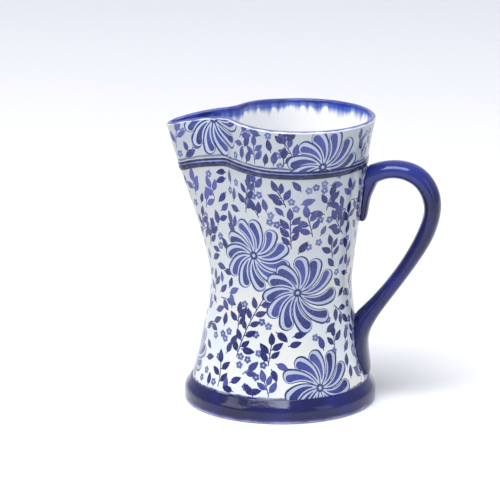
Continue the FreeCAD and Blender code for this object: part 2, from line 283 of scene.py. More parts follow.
NECK_SPRIGS = (
    (6, 98.6, 8, 1, 1), (4, 103, 75, 3, 5), (33.8, 99.5, 88, 1, 0), (35, 104.5, 80, 1, 0),
    (39.5, 99.3, 92, 4, 5), (46.3, 99.5, 100, 1, 0), (45.5, 104.5, 95, 1, 0), (53.5, 101.5, 118, 4, 6),
    (77, 103.5, 105, 2, 3), (79.5, 99.5, 100, 2, 3), (84, 100, 80, 4, 6), (42, 110.5, 170, 1, 0),
    (50, 107.5, 100, 3, 2), (33, 108, 60, 2, 2), (49.5, 99.5, 75, 2, 2), (10.5, 100, 80, 2, 3),
)

# Florets on one sheet: around, up.
BODY_FLORETS = (
    (26, 86.2), (38, 86.6), (40.5, 87.4), (52, 85.6), (53.5, 82.8), (60.5, 91), (63.5, 92.2), (63.5, 89.6),
    (44.5, 80), (44, 77.3), (46.6, 76.5), (62.3, 78), (66, 77.6), (58, 67.5), (62, 69), (33, 44),
    (40.5, 38), (24, 31), (27, 32.5), (25.5, 29.5), (67, 37.5), (61, 31.5), (68.5, 25), (77, 32),
    (76, 68), (73, 67.3), (33.2, 24), (36, 23.2), (33, 20.8), (23.5, 22), (20, 68), (36, 13),
    (38.5, 33), (78, 46), (20, 64.5), (30, 90), (12, 75.5), (16, 91.5), (69, 95), (80, 35),
    (16, 12), (18, 15.5), (39.5, 17), (40, 26), (35, 84), (71.5, 55.5), (80, 80), (6, 52),
)
NECK_FLORETS = (
    (37, 110.5), (47.8, 103.6), (48.5, 99.5), (44.4, 111), (8, 109), (80, 109), (30.5, 100.5),
)

# The sheet is laid on each side, and again past both seams so that it meets itself.
SHIFTS = (-2 * PRINT_HALF, -PRINT_HALF, 0, PRINT_HALF)
PRINT_SEED = 7

# For the body and the neck: whether it is the neck, its motifs, and the heights between which gaps fill.
LAYERS = (
    (False, BODY_SPRIGS, BODY_FLORETS, BODY_FLOWERS, FOOT_TOP + 1, 94.0),
    (True, NECK_SPRIGS, NECK_FLORETS, NECK_FLOWERS, 98.5, PRINT_TOP - 1),
)

# Leaves and stems, in millimetres.
LEAF_LENGTH = 5.1
LEAF_WIDTH = 2.6
STALK = 0.55
STEM_WIDTH = 0.42

# Pinwheels: half width of a petal in a flower of radius 15, widths of its outline and pale band, how far
# out outline, band and heart start, and the radii of the boss and its eye.
PETALS = 11
PETAL_HALF = 2.95
LINE_WIDTH = 0.55
BAND_WIDTH = 0.95
LINE_START, BAND_START, HEART_START = 0.6, 1.2, 3.2
HEART_INSET = 0.55
BOSS_RADIUS = 1.65
BOSS_EYE = 0.65

# Florets: how far the petals stand from the middle, their radius and the radius of the eye.
FLORET_PETALS = 5
FLORET_SPREAD = 0.9
FLORET_PETAL = 0.66
FLORET_EYE = 0.28

# Filling of gaps: tries, bare ground needed at the foot, middle and tip of a leaf and round a flower,
# how far off other marks are looked for, and the share of florets.
GAP_SEED = 11
GAP_TRIES = 2500
GAP_CLEARANCES = (0.6, 1.5, 0.6)
FLOWER_CLEARANCE = 1
GAP_WINDOW = 10.0
GAP_FLORETS = 0.25

# Plain grid that the outlines are cut into, and how near two of its points may come.
GRID_SPACING = 1.5
SAME_POINT = 1e-5


def across(up):
    """Width on the wall of one print unit at this height of the print."""
    return np.interp(up, HEIGHTS, SIDE_LENGTHS) / PRINT_HALF


class Print:
    """Shapes of the print, in drawing order, as outlines in print coordinates."""

    def __init__(self):
        self.outlines = []
        self.kinds = []
        self.necks = []
        self.tones = []

    def add(self, centre, points, kind, in_neck, tone=0.5):
        """Adds an outline whose points are millimetres on the wall away from the centre."""
        points = np.asarray(points, float)
        up = centre[1] + points[:, 1]
        around = centre[0] + points[:, 0] / across(up)
        if around.max() < -PRINT_HALF or around.min() > PRINT_HALF:
            return
        self.outlines.append(np.stack([around, up], 1))
        self.kinds.append(kind)
        self.necks.append(in_neck)
        self.tones.append(tone)


def disc(x, y, radius, count):
    """Closed outline of a small round with this many corners."""
    return arc(x, y, radius, 0, math.tau * (count - 1) / count, count)


def ribbon(line, half_widths):
    """Closed outline around a centre line, with its own half width at every point."""
    line = np.asarray(line, float)
    along = np.gradient(line, axis=0)
    along /= np.linalg.norm(along, axis=1, keepdims=True)
    side = np.stack([-along[:, 1], along[:, 0]], 1) * np.asarray(half_widths)[:, None]
    return np.vstack([line + side, (line - side)[::-1]])


def leaf(sheet, centre, foot, heading, size, bend, in_neck, tone):
    """Pointed oval leaf on a short stalk, with its tip a little turned."""
    share = np.linspace(0, 1, 7)
    angle = heading + bend * share
    step = np.stack([np.cos(angle), np.sin(angle)], 1) * LEAF_LENGTH * size / 6
    start = foot + STALK * np.array([math.cos(heading), math.sin(heading)])
    line = start + np.vstack([np.zeros(2), np.cumsum(step[1:], axis=0)])
    half = LEAF_WIDTH * size / 2 * np.sin(np.pi * share ** 0.8) ** 0.85
    stalk = ribbon([foot, start, line[1]], np.full(3, STEM_WIDTH / 2))
    sheet.add(centre, stalk, LEAF, in_neck, tone)
    # the ribbon ends in a point both ways, so each point is kept once
    outline = ribbon(line, half)
    sheet.add(centre, np.vstack([outline[:7], outline[8:13]]), LEAF, in_neck, tone)


def sprig(sheet, row, rng, in_neck):
    """Stem with a leaf at its end and leaves by turns on its two sides."""
    around, up, heading, leaves, length = row
    centre = (around, up)
    heading = math.radians(heading)
    bend = rng.uniform(-0.35, 0.35)
    tone = rng.random()
    share = np.linspace(0, 1, 5)
    angle = heading + bend * share
    length = length * 1.12 + (0.5 if leaves > 2 else 0.0)
    step = np.stack([np.cos(angle), np.sin(angle)], 1) * length / 4
    stem = np.vstack([np.zeros(2), np.cumsum(step[1:], axis=0)])
    if leaves > 1:
        sheet.add(centre, ribbon(stem, np.full(5, STEM_WIDTH / 2)), LEAF, in_neck, tone)
    size, curl = rng.uniform(0.95, 1.12), rng.uniform(-0.3, 0.3)
    leaf(sheet, centre, stem[-1], heading + bend, size, curl, in_neck, tone)
    for index in range(leaves - 1):
        at = 1 - (index + 0.75) / (leaves - 0.4)
        foot = np.array([np.interp(at, share, stem[:, 0]), np.interp(at, share, stem[:, 1])])
        side = 1 if index % 2 else -1
        turn = heading + bend * at + side * rng.uniform(0.8, 1.1)
        size, curl = rng.uniform(0.85, 1.05), -side * rng.uniform(0.1, 0.5)
        leaf(sheet, centre, foot, turn, size, curl, in_neck, tone)


def floret(sheet, centre, rng, in_neck):
    """Small flower of five round petals and a pale eye."""
    start = rng.uniform(0, math.tau)
    tone = rng.random()
    for index in range(FLORET_PETALS):
        angle = start + index * math.tau / FLORET_PETALS
        x, y = FLORET_SPREAD * math.cos(angle), FLORET_SPREAD * math.sin(angle)
        sheet.add(centre, disc(x, y, FLORET_PETAL, 8), FLORET, in_neck, tone)
    sheet.add(centre, disc(0, 0, FLORET_EYE, 6), PALE, in_neck)


def petal(reach, start, turn, inset, tip_half, first):
    """Curved teardrop that widens from the middle of the flower to a round tip."""
    radius = np.linspace(first, reach - tip_half, 9)
    angle = start + turn * (radius / reach) ** 1.5
    line = np.stack([radius * np.cos(angle), radius * np.sin(angle)], 1)
    half = np.maximum((tip_half + inset) * (radius / radius[-1]) ** 0.80 - inset, 0.06)
    sides = ribbon(line, half)
    end = line[-1] - line[-2]
    heading = math.atan2(end[1], end[0])
    # the round cap takes the place of the two corners at the far end of the ribbon
    cap = arc(*line[-1], half[-1], heading + math.pi / 2, heading - math.pi / 2, 9)
    return np.vstack([sides[:8], cap, sides[10:]])


def pinwheel(sheet, row, rng, in_neck):
    """Flower of petals that curl one way, each a dark heart in a pale band and a thin line."""
    around, up, reach, lopsided, towards = row
    centre = (around, up)
    start = rng.uniform(0, math.tau)
    for index in range(PETALS):
        angle = start + index * math.tau / PETALS + rng.uniform(-0.03, 0.03)
        turn = rng.uniform(0.60, 0.70)
        lean = 1 + lopsided * math.cos(angle + turn - math.radians(towards))
        far = reach * lean * rng.uniform(0.96, 1.03)
        tip = PETAL_HALF * reach / 15 * rng.uniform(0.95, 1.04)
        sheet.add(centre, petal(far, angle, turn, 0.0, tip, LINE_START), LINE, in_neck)
        far -= LINE_WIDTH
        tip -= LINE_WIDTH
        sheet.add(centre, petal(far, angle, turn, LINE_WIDTH / 2, tip, BAND_START), PALE, in_neck)
        far -= BAND_WIDTH
        tip -= BAND_WIDTH
        heart = petal(far, angle, turn, HEART_INSET, tip, HEART_START)
        sheet.add(centre, heart, CORE, in_neck, rng.random())
    sheet.add(centre, disc(0, 0, BOSS_RADIUS, 16), LINE, in_neck)
    sheet.add(centre, disc(0, 0, BOSS_EYE, 10), PALE, in_neck)


def draw_layers(sheet):
    """Draws the listed motifs of every repeat of the sheet, each repeat from the same seed."""
    for shift in SHIFTS:
        rng = random.Random(PRINT_SEED)
        for in_neck, sprigs, florets, flowers, _, _ in LAYERS:
            for around, up in florets:
                floret(sheet, (around + shift, up), rng, in_neck)
            for row in sprigs:
                sprig(sheet, (row[0] + shift,) + row[1:], rng, in_neck)
            for row in flowers:
                pinwheel(sheet, (row[0] + shift,) + row[1:], rng, in_neck)


def fill_gaps(sheet):
    """Adds single leaves and florets wherever a seeded try finds bare ground on the sheet."""
    rng = random.Random(GAP_SEED)
    for in_neck, _, _, flowers, bottom, top in LAYERS:
        taken = [line for line, neck in zip(sheet.outlines, sheet.necks) if neck == in_neck]
        taken = np.vstack(taken)
        for _ in range(GAP_TRIES):
            around, up = rng.uniform(0, PRINT_HALF), rng.uniform(bottom, top)
            heading = math.radians(rng.gauss(90, 45))
            size = rng.uniform(0.8, 1.05)
            length = LEAF_LENGTH * size
            spots = np.array([(around + r * length * math.cos(heading) / across(up),
                               up + r * length * math.sin(heading)) for r in (0.0, 0.5, 1.0)])
            near = taken[(np.abs(taken - (around, up)) < GAP_WINDOW).all(1)]
            gaps = (spots[:, None] - near[None]) * (across(up), 1)
            in_flower = any(
                math.hypot((spots[1, 0] - a - shift) * across(up), spots[1, 1] - b) < r + FLOWER_CLEARANCE
                for a, b, r, _, _ in flowers for shift in (-PRINT_HALF, 0, PRINT_HALF))
            clear = len(near) and (np.sqrt((gaps ** 2).sum(2).min(1)) > GAP_CLEARANCES).all()
            if in_flower or not clear or not bottom < spots[2, 1] < top:
                continue
            tone = rng.random()
            is_floret = rng.random() < GAP_FLORETS
            first = len(sheet.outlines)
            for shift in SHIFTS:
                if is_floret:
                    floret(sheet, (spots[1, 0] + shift, spots[1, 1]), random.Random(tone), in_neck)
                else:
                    leaf(sheet, (around + shift, up), np.zeros(2), heading, size, 0.2, in_neck, tone)
            taken = np.vstack([taken] + sheet.outlines[first:])


def inside_outline(points, outline):
    """Which of the points lie inside a closed outline, by counting crossings."""
    inside = np.zeros(len(points), bool)
    for first, second in zip(outline, np.roll(outline, -1, axis=0)):
        if first[1] == second[1]:
            continue
        crosses = (first[1] > points[:, 1]) != (second[1] > points[:, 1])
        at = first[0] + (points[:, 1] - first[1]) / (second[1] - first[1]) * (second[0] - first[0])
        inside ^= crosses & (points[:, 0] < at)
    return inside


def print_mesh():
    """Unrolled wall cut along every outline: points, triangles, and each triangle's kind and tone."""
    sheet = Print()
    draw_layers(sheet)
    fill_gaps(sheet)
    columns = int(2 * PRINT_HALF / GRID_SPACING)
    rows = int((PRINT_TOP - FOOT_TOP) / GRID_SPACING)
    points = [(a, b) for a in np.linspace(-PRINT_HALF, PRINT_HALF, columns + 1)
              for b in np.linspace(FOOT_TOP, PRINT_TOP, rows + 1)]
    corners = len(points)
    points += [(-PRINT_HALF, FOOT_TOP), (PRINT_HALF, FOOT_TOP),
               (PRINT_HALF, PRINT_TOP), (-PRINT_HALF, PRINT_TOP)]
    edges = [(corners + i, corners + (i + 1) % 4) for i in range(4)]
    faces = []
    for outline in sheet.outlines:
        faces.append(list(range(len(points), len(points) + len(outline))))
        points += [tuple(p) for p in outline]
    # output type 0: triangles over the whole hull, of which those past the edges are then dropped
    found = delaunay_2d_cdt([Vector(p) for p in points], edges, faces, 0, SAME_POINT, False)
    flat = np.array([tuple(p) for p in found[0]])
    triangles = np.array(found[2])
    middle = flat[triangles].mean(1)
    around, up = middle.T
    on_wall = (np.abs(around) < PRINT_HALF) & (up > FOOT_TOP) & (up < PRINT_TOP)
    triangles, middle = triangles[on_wall], middle[on_wall]
    around, up = middle.T
    on_neck = wall_height(around, up) > wave_height(around, CORD_LEVEL, CORD_DROOP)
    kinds = np.full(len(triangles), GROUND)
    tones = np.full(len(triangles), 0.5)
    for outline, kind, in_neck, tone in zip(sheet.outlines, sheet.kinds, sheet.necks, sheet.tones):
        low, high = outline.min(0), outline.max(0)
        near = np.where((middle > low).all(1) & (middle < high).all(1) & (on_neck == in_neck))[0]
        covered = near[inside_outline(middle[near], outline)]
        kinds[covered] = kind
        tones[covered] = tone
    return flat, triangles, kinds, tones


def flower_reach(flat):
    """Distance of each print point from the nearest flower, as a share of that flower's radius."""
    reach = np.full(len(flat), 2.0)
    for shift in SHIFTS:
        for around, up, radius, _, _ in BODY_FLOWERS + NECK_FLOWERS:
            away = np.hypot((flat[:, 0] - around - shift) * across(up), flat[:, 1] - up)
            reach = np.minimum(reach, away / radius)
    return reach


# Rings of the inner wall, closer together near the rim.
INNER_RINGS = 44
INNER_CROWDING = 1.25


def make_body():
    """Closed body: printed wall, rolled rim, inner wall, floor, and the spigot under the foot's top."""
    flat, triangles, kinds, tones = print_mesh()
    used, triangles = np.unique(triangles, return_inverse=True)
    flat = flat[used]
    triangles = triangles.reshape(-1, 3)
    wall = wall_point(flat[:, 0], flat[:, 1])
    normals = wall_normal(flat[:, 0], flat[:, 1])
    reach = flower_reach(flat)

    mesh = bmesh.new()
    reach_layer, depth_layer, cord_layer, foot_layer = (
        mesh.verts.layers.float.new(name) for name in ("reach", "depth", "above_cord", "above_foot"))
    above_cord = wall[:, 2] - wave_height(flat[:, 0], CORD_LEVEL, CORD_DROOP)
    tone_layer = mesh.faces.layers.float.new("tone")
    rows = []
    for point, share, above in zip(wall, reach, above_cord):
        vertex = mesh.verts.new(Vector(point) * MM)
        vertex[reach_layer] = share
        vertex[depth_layer] = -RIM_ACROSS
        vertex[cord_layer] = above
        vertex[foot_layer] = point[2] - FOOT_TOP
        rows.append(vertex)
    for corner_ids, kind, tone in zip(triangles, kinds, tones):
        face = mesh.faces.new([rows[i] for i in corner_ids])
        face.material_index = int(kind)
        face[tone_layer] = tone

    def border(level):
        """Print points along the top or bottom edge, in order round the jug."""
        ids = np.where(np.abs(flat[:, 1] - level) < 1e-4)[0]
        return ids[np.argsort(flat[ids, 0])]

    def column(points, depths, kind, previous, close=None):
        """Joins rings of points below one another, starting from the ring `previous`."""
        for ring, depth in zip(points, depths):
            current = [mesh.verts.new(Vector(p) * MM) for p in ring]
            for vertex in current:
                vertex[reach_layer] = 2.0
                vertex[depth_layer] = depth
            for i in range(len(current) - 1):
                face = mesh.faces.new((previous[i], previous[i + 1], current[i + 1], current[i]))
                face.material_index = kind
            previous = current
        if close is not None:
            hub = mesh.verts.new(Vector(close) * MM)
            hub[reach_layer] = 2.0
            hub[depth_layer] = depths[-1]
            for i in range(len(previous) - 1):
                mesh.faces.new((previous[i], previous[i + 1], hub)).material_index = kind
        return previous

    top = border(PRINT_TOP)
    around = flat[top, 0]
    z_edge = wall_height(around, np.full(len(top), PRINT_TOP))

    def inner(z):
        """Ring of the inner wall, at these heights or at the rim where that is lower."""
        level = np.minimum(z, z_edge)
        xy = outline_point(around, level) - WALL * outward(around, level)
        return np.concatenate([xy, level[:, None]], -1)

    outer_edge = wall[top]
    inner_edge = inner(z_edge)
    middle = (outer_edge + inner_edge) / 2
    half = (outer_edge - inner_edge) / 2
    roll_angles = np.linspace(0, math.pi, 11)[1:]
    roll = []
    for angle in roll_angles:
        ring = middle + half * math.cos(angle)
        ring[:, 2] = z_edge + RIM_CREST * math.sin(angle)
        roll.append(ring)
    last = column(roll, -RIM_ACROSS * (1 - roll_angles / math.pi), RIM, [rows[i] for i in top])
    fillet_top = FLOOR_TOP + FLOOR_ROUND
    levels = np.linspace(0, 1, INNER_RINGS)[1:] ** INNER_CROWDING
    rings = [inner(z_edge + (fillet_top - z_edge) * share) for share in levels]
    depths = [share * (RIM_LEVEL - fillet_top) for share in levels]
    last = column(rings, depths, INSIDE, last)
    low = inner(np.full(len(top), fillet_top))
    rings = []
    for angle in np.linspace(0, math.pi / 2, 9)[1:]:
        ring = low.copy()
        ring[:, :2] *= 1 - FLOOR_ROUND / SEAT_RADIUS * (1 - math.cos(angle))
        ring[:, 2] = fillet_top - FLOOR_ROUND * math.sin(angle)
        rings.append(ring)
    for share in (0.75, 0.5, 0.25):
        ring = rings[7].copy()
        ring[:, :2] *= share
        rings.append(ring)
    column(rings, [RIM_LEVEL] * len(rings), INSIDE, last, close=(0, 0, FLOOR_TOP))

    low_ids = border(FOOT_TOP)
    direction = outline_point(flat[low_ids, 0], np.full(len(low_ids), FOOT_TOP))
    direction = direction / np.linalg.norm(direction, axis=1, keepdims=True)
    spigot = ((SEAT_RADIUS, FOOT_TOP), (SEAT_RADIUS, SEAT_LEVEL), (24.0, SEAT_LEVEL), (12.0, SEAT_LEVEL))
    rings = []
    for radius, z in spigot:
        rings.append(np.concatenate([direction * radius, np.full((len(low_ids), 1), z)], -1))
    first = [rows[i] for i in low_ids]
    column(rings, [RIM_LEVEL] * len(rings), GROUND, first, close=(0, 0, SEAT_LEVEL))

    # the sheet's two edges meet under the handle
    seam = [v for v in mesh.verts if abs(v.co.y) < 1e-6 and v.co.x > 0]
    bmesh.ops.remove_doubles(mesh, verts=seam, dist=0.004 * MM)
    bmesh.ops.recalc_face_normals(mesh, faces=mesh.faces)
    body = finish_mesh("printed_body", mesh)
    # the printed wall takes the exact normals of its surface, so that the many small faces don't show
    smooth = np.array([tuple(n.vector) for n in body.data.vertex_normals])
    exact = {tuple(np.round(point, 3)): normal for point, normal in zip(wall, normals)}
    for index, vertex in enumerate(body.data.vertices):
        smooth[index] = exact.get(tuple(np.round(np.array(vertex.co) / MM, 3)), smooth[index])
    body.data.normals_split_custom_set_from_vertices([tuple(n) for n in smooth])
    return body


def finish_mesh(name, mesh):
    """Turns the mesh into a smooth-shaded piece in the scene."""
    data = bpy.data.meshes.new(name)
    mesh.to_mesh(data)
    mesh.free()
    data.shade_smooth()
    piece = bpy.data.objects.new(name, data)
    bpy.context.scene.collection.objects.link(piece)
    return piece


def loop_piece(name, rings):
    """Ring-shaped piece from closed sections in order round it; strip j of a section gets slot j."""
    mesh = bmesh.new()
    grid = [[mesh.verts.new(Vector(p) * MM) for p in ring] for ring in rings]
    count, width = len(grid), len(grid[0])
    for i in range(count):
        for j in range(width):
            after = (i + 1) % count
            beside = (j + 1) % width
            face = mesh.faces.new((grid[i][j], grid[after][j], grid[after][beside], grid[i][beside]))
            face.material_index = j
    bmesh.ops.recalc_face_normals(mesh, faces=mesh.faces)
    return finish_mesh(name, mesh)


CORD_LINE, CORD_GAP, CORD_RIDGE = range(3)

# Section of the cord from top to bottom: share of its half width, how proud it stands in millimetres,
# and the slot of the strip below that point.
CORD_SECTION = (
    (1.0, -0.5, CORD_LINE), (1.0, 0.02, CORD_LINE), (0.93, 0.16, CORD_LINE), (0.80, 0.24, CORD_LINE),
    (0.62, 0.26, CORD_LINE), (0.46, 0.20, CORD_GAP), (0.34, 0.20, CORD_GAP), (0.22, 0.32, CORD_RIDGE),
    (0.0, 0.39, CORD_RIDGE), (-0.3, 0.40, CORD_RIDGE), (-0.6, 0.36, CORD_RIDGE),
    (-0.82, 0.26, CORD_RIDGE), (-0.95, 0.12, CORD_RIDGE), (-1.0, 0.0, CORD_RIDGE),
    (-1.0, -0.5, CORD_RIDGE),
)


def make_cord():
    """Raised moulding round the neck: a dark line, a thin light line and the ridge below them."""
    around = np.linspace(-PRINT_HALF, PRINT_HALF, 361)[:-1]
    level = wave_height(around, CORD_LEVEL, CORD_DROOP)
    out = outward(around, level)
    half = CORD_WIDTH / 2
    columns = []
    for share, proud, _ in CORD_SECTION:
        z = level + half * share
        xy = outline_point(around, z) + proud * out
        columns.append(np.concatenate([xy, z[:, None]], -1))
    cord = loop_piece("neck_moulding", np.array(columns).transpose(1, 0, 2))
    for polygon in cord.data.polygons:
        polygon.material_index = CORD_SECTION[polygon.material_index][2]
    return cord


# Foot ring: radii of its toe, of the bend above it, of its top edge and of its bore, the height at which
# the straight side and the slope to the top would meet, and the small break at the bore's edge.
TOE_ROUND = 1.4
BULGE_ROUND = 4.0
BULGE_LEVEL = 5.4
TOP_RADIUS = 34.6
BORE_RADIUS = 31.0
BORE_BREAK = 0.4


def make_foot():
    """Turned foot ring: flat toe, bulged outside, bore and seat."""
    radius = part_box("foot_ring")[1].x / MM
    lean = math.atan2(radius - TOP_RADIUS, FOOT_TOP - BULGE_LEVEL)
    flat = radius - TOE_ROUND
    profile = [(BORE_RADIUS + BORE_BREAK, 0.0), (flat - 0.6, 0.0), (flat, 0.0)]
    profile += [tuple(p) for p in arc(flat, TOE_ROUND, TOE_ROUND, -math.pi / 2, 0, 9)[1:]]
    rise = BULGE_LEVEL - BULGE_ROUND * math.tan(lean / 2)
    profile += [(radius, TOE_ROUND + (rise - TOE_ROUND) * share) for share in (0.35, 0.7)]
    profile += [tuple(p) for p in arc(radius - BULGE_ROUND, rise, BULGE_ROUND, 0, lean, 12)]
    end = profile[-1]
    profile += [(end[0] + (TOP_RADIUS - end[0]) * share, end[1] + (FOOT_TOP - end[1]) * share)
                for share in (0.3, 0.6, 0.9, 0.99)]
    profile += [(TOP_RADIUS - 0.1, FOOT_TOP), (SEAT_RADIUS, FOOT_TOP), (SEAT_RADIUS, SEAT_LEVEL)]
    profile += [(BORE_RADIUS, z) for z in (SEAT_LEVEL, SEAT_LEVEL / 2, BORE_BREAK)]
    rings = []
    for angle in np.linspace(0, math.tau, 241)[:-1]:
        rings.append([(r * math.cos(angle), r * math.sin(angle), z) for r, z in profile])
    foot = loop_piece("turned_foot", rings)
    for polygon in foot.data.polygons:
        polygon.material_index = 0
    return foot


HANDLE_VOXEL = 0.45
HANDLE_SMOOTHING = 20


def make_handle():
    """Handle of the CAD node, remeshed and smoothed so that the strap and its tail flow together."""
    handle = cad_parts["handle"].copy()
    handle.data = handle.data.copy()
    handle.name = "pulled_handle"
    handle.data.name = "pulled_handle"
    for key in list(handle.keys()):
        if key.startswith("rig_"):
            del handle[key]
    bpy.context.scene.collection.objects.link(handle)
    remesh = handle.modifiers.new("remesh", "REMESH")
    remesh.mode = "VOXEL"
    remesh.voxel_size = HANDLE_VOXEL * MM
    remesh.use_smooth_shade = True
    smooth = handle.modifiers.new("smooth", "SMOOTH")
    smooth.factor = 0.5
    smooth.iterations = HANDLE_SMOOTHING
    bpy.context.view_layer.update()
    evaluated = handle.evaluated_get(bpy.context.evaluated_depsgraph_get())
    data = bpy.data.meshes.new_from_object(evaluated)
    handle.modifiers.clear()
    handle.data = data
    data.shade_smooth()
    return handle


# ---- materials

class Look:
    """A glaze material whose nodes are added by short calls."""

    def __init__(self, name, **fixed):
        self.material = bpy.data.materials.new(name)
        self.material.use_nodes = True
        self.nodes = self.material.node_tree.nodes
        self.links = self.material.node_tree.links
        self.shader = [n for n in self.nodes if n.type == "BSDF_PRINCIPLED"][0]
        for socket, value in fixed.items():
            self.shader.inputs[socket.replace("_", " ")].default_value = value
        self.place = self.nodes.new("ShaderNodeTexCoord").outputs["Object"]

    def node(self, kind, inputs, output=0, **settings):
        """Adds a node; an input is either another node's output or a plain value."""
        node = self.nodes.new("ShaderNode" + kind)
        for name, value in settings.items():
            setattr(node, name, value)
        for name, value in inputs.items():
            if isinstance(value, bpy.types.NodeSocket):
                self.links.new(value, node.inputs[name])
            else:
                node.inputs[name].default_value = value
        return node.outputs[output]

    def noise(self, scale, detail=2.0, stretch=(1, 1, 1)):
        """Noise with this many waves to the metre."""
        place = self.node("Mapping", {"Vector": self.place, "Scale": stretch})
        return self.node("TexNoise", {"Vector": place, "Scale": scale, "Detail": detail})

    def ramp(self, value, stops):
        """Colours, given in 0 to 255, blended along a value."""
        node = self.nodes.new("ShaderNodeValToRGB")
        while len(node.color_ramp.elements) < len(stops):
            node.color_ramp.elements.new(0.5)
        for element, (at, colour) in zip(node.color_ramp.elements, stops):
            element.position = at
            element.color = rgba(*colour)
        self.links.new(value, node.inputs["Fac"])
        return node.outputs["Color"]

    def mix(self, share, first, second):
        """Colour that goes from the first to the second as the share goes from 0 to 1."""
        return self.node("Mix", {0: share, 6: first, 7: second}, output=2, data_type="RGBA")

    def span(self, value, low, high, out_low=0.0, out_high=1.0):
        """Maps a value from one range to another, held at both ends."""
        return self.node("MapRange", {0: value, 1: low, 2: high, 3: out_low, 4: out_high})

    def spread(self, noise, low, high):
        """Maps noise, most of whose values lie between 0.3 and 0.7, to a range."""
        return self.span(noise, 0.3, 0.7, low, high)

    def combine(self, operation, first, second, **settings):
        """Result of one sum on two values."""
        return self.node("Math", {0: first, 1: second}, operation=operation, **settings)

    def attribute(self, name):
        """Value kept on the mesh under this name."""
        return self.node("Attribute", {}, output="Fac", attribute_name=name)

    def axis(self, letter):
        """One coordinate of the point, in metres."""
        return self.node("SeparateXYZ", {"Vector": self.place}, output=letter)

    def finish(self, colour, rough=(0.06, 0.13), ripple=0.05, ripple_scale=900.0):
        """Links the colour, the uneven gloss and the fine ripple of a fired glaze."""
        self.links.new(colour, self.shader.inputs["Base Color"])
        cloud = self.noise(140.0, 3.0)
        self.links.new(self.spread(cloud, *rough), self.shader.inputs["Roughness"])
        broad = self.noise(ripple_scale, 2.0)
        pits = self.noise(ripple_scale * 5, 1.0)
        height = self.combine("ADD", broad, self.span(pits, 0.62, 0.75, 0.0, 0.35))
        bump = self.node("Bump", {"Strength": ripple, "Distance": 0.0004, "Height": height})
        self.links.new(bump, self.shader.inputs["Normal"])
        return self.material


def rgba(*colour):
    """Linear colour with full alpha of an sRGB colour in 0 to 255."""
    return (*((c / 255 / 12.92) if c <= 10 else ((c / 255 + 0.055) / 1.055) ** 2.4 for c in colour), 1)


GLAZE = {"IOR": 1.5, "Specular_IOR_Level": 0.4, "Coat_Weight": 0.12, "Coat_Roughness": 0.03,
         "Coat_IOR": 1.5}


def glaze(name):
    """Look of clear glossy glaze over whatever colour is given to it."""
    return Look(name, **GLAZE)


# Bluish, middle and warm tints of the white glaze, from outside to inside. The one white glaze is painted
# darker on the outer wall and the rim than inside, as painted shade.
GROUND_TINTS = ((203, 210, 218), (211, 215, 217), (218, 215, 211))
INSIDE_TINTS = ((244, 247, 251), (250, 251, 252), (251, 251, 250))
RIM_TINTS = ((200, 206, 222), (212, 216, 226), (218, 219, 224))


def porcelain(name, tints):
    """White glaze: a cloud of warm and bluish tints, and a few specks of iron."""
    look = glaze(name)
    cloud = look.noise(45.0, 3.0)
    colour = look.ramp(cloud, tuple(zip((0.30, 0.5, 0.70), tints)))
    blush = look.span(look.noise(90.0, 2.0, (1.3, 1, 0.8)), 0.60, 0.78, 0.0, 0.35)
    colour = look.mix(blush, colour, rgba(206, 214, 238))
    specks = look.span(look.noise(2600.0, 0.0), 0.80, 0.83, 0.0, 0.35)
    colour = look.mix(specks, colour, rgba(120, 118, 140))
    return look, colour


def stained(look, colour):
    """Adds the uneven cobalt lines that ran from the cord and the foot on to the wall."""
    cloud = look.noise(330.0, 3.0)
    above = look.attribute("above_cord")
    above = look.combine("ADD", above, look.spread(cloud, -0.22, 0.22))
    line = look.combine("MINIMUM", look.span(above, 1.95, 2.2), look.span(above, 3.0, 2.65))
    foot = look.attribute("above_foot")
    foot = look.combine("ADD", foot, look.spread(cloud, -0.3, 0.3))
    line = look.combine("MAXIMUM", line, look.span(foot, 0.95, 0.55))
    patchy = look.span(look.noise(150.0, 2.0), 0.32, 0.6, 0.6, 1.0)
    line = look.combine("MULTIPLY", line, patchy)
    return look.mix(line, colour, rgba(34, 42, 110))


def ground_look():
    """Body glaze with painted shade that greys it towards the neck, stained beside the cord and the foot.
    """
    look, colour = porcelain("porcelain_ground", GROUND_TINTS)
    up = look.axis("Z")
    # painted shade: the wall is painted greyer with height, for the flaring upper wall that gets less of
    # the light from above
    shade = look.ramp(look.span(up, 0.0, 0.1), ((0.18, (255, 255, 255)), (0.45, (236, 238, 240)),
                                                (0.65, (220, 222, 227)), (1.0, (202, 205, 212))))
    colour = look.node("Mix", {0: 1.0, 6: colour, 7: shade}, output=2, data_type="RGBA",
                       blend_type="MULTIPLY")
    return look.finish(stained(look, colour))


def inside_look():
    """White inside, with cobalt that ran down from the rim in streaks and filled the spout."""
    look, colour = porcelain("porcelain_inside", INSIDE_TINTS)
    depth = look.attribute("depth")
    streaks = look.noise(430.0, 3.0, (1, 1, 0.03))
    runs = look.noise(150.0, 2.0, (1, 1, 0.02))
    spout = look.span(look.axis("X"), -0.020, -0.032, 0.0, 5.0)
    solid = look.combine("ADD", look.spread(runs, 0.8, 2.6), spout)
    length = look.combine("ADD", look.span(streaks, 0.35, 0.68, 0.6, 5.5), solid)
    wash = look.node("MapRange", {0: depth, 1: solid, 2: length, 3: 1.0, 4: 0.0},
                     interpolation_type="SMOOTHSTEP")
    wash = look.combine("POWER", wash, 1.4)
    strength = look.ramp(streaks, ((0.35, (120, 150, 215)), (0.6, (60, 90, 190))))
    colour = look.mix(wash, colour, strength)
    heart = look.node("MapRange", {0: depth, 1: solid, 2: 0.0, 3: 0.0, 4: 1.0},
                      interpolation_type="SMOOTHSTEP")
    cobalt = look.ramp(look.noise(220.0, 3.0), ((0.35, (28, 32, 105)), (0.65, (48, 72, 170))))
    return look.finish(look.mix(heart, colour, cobalt))


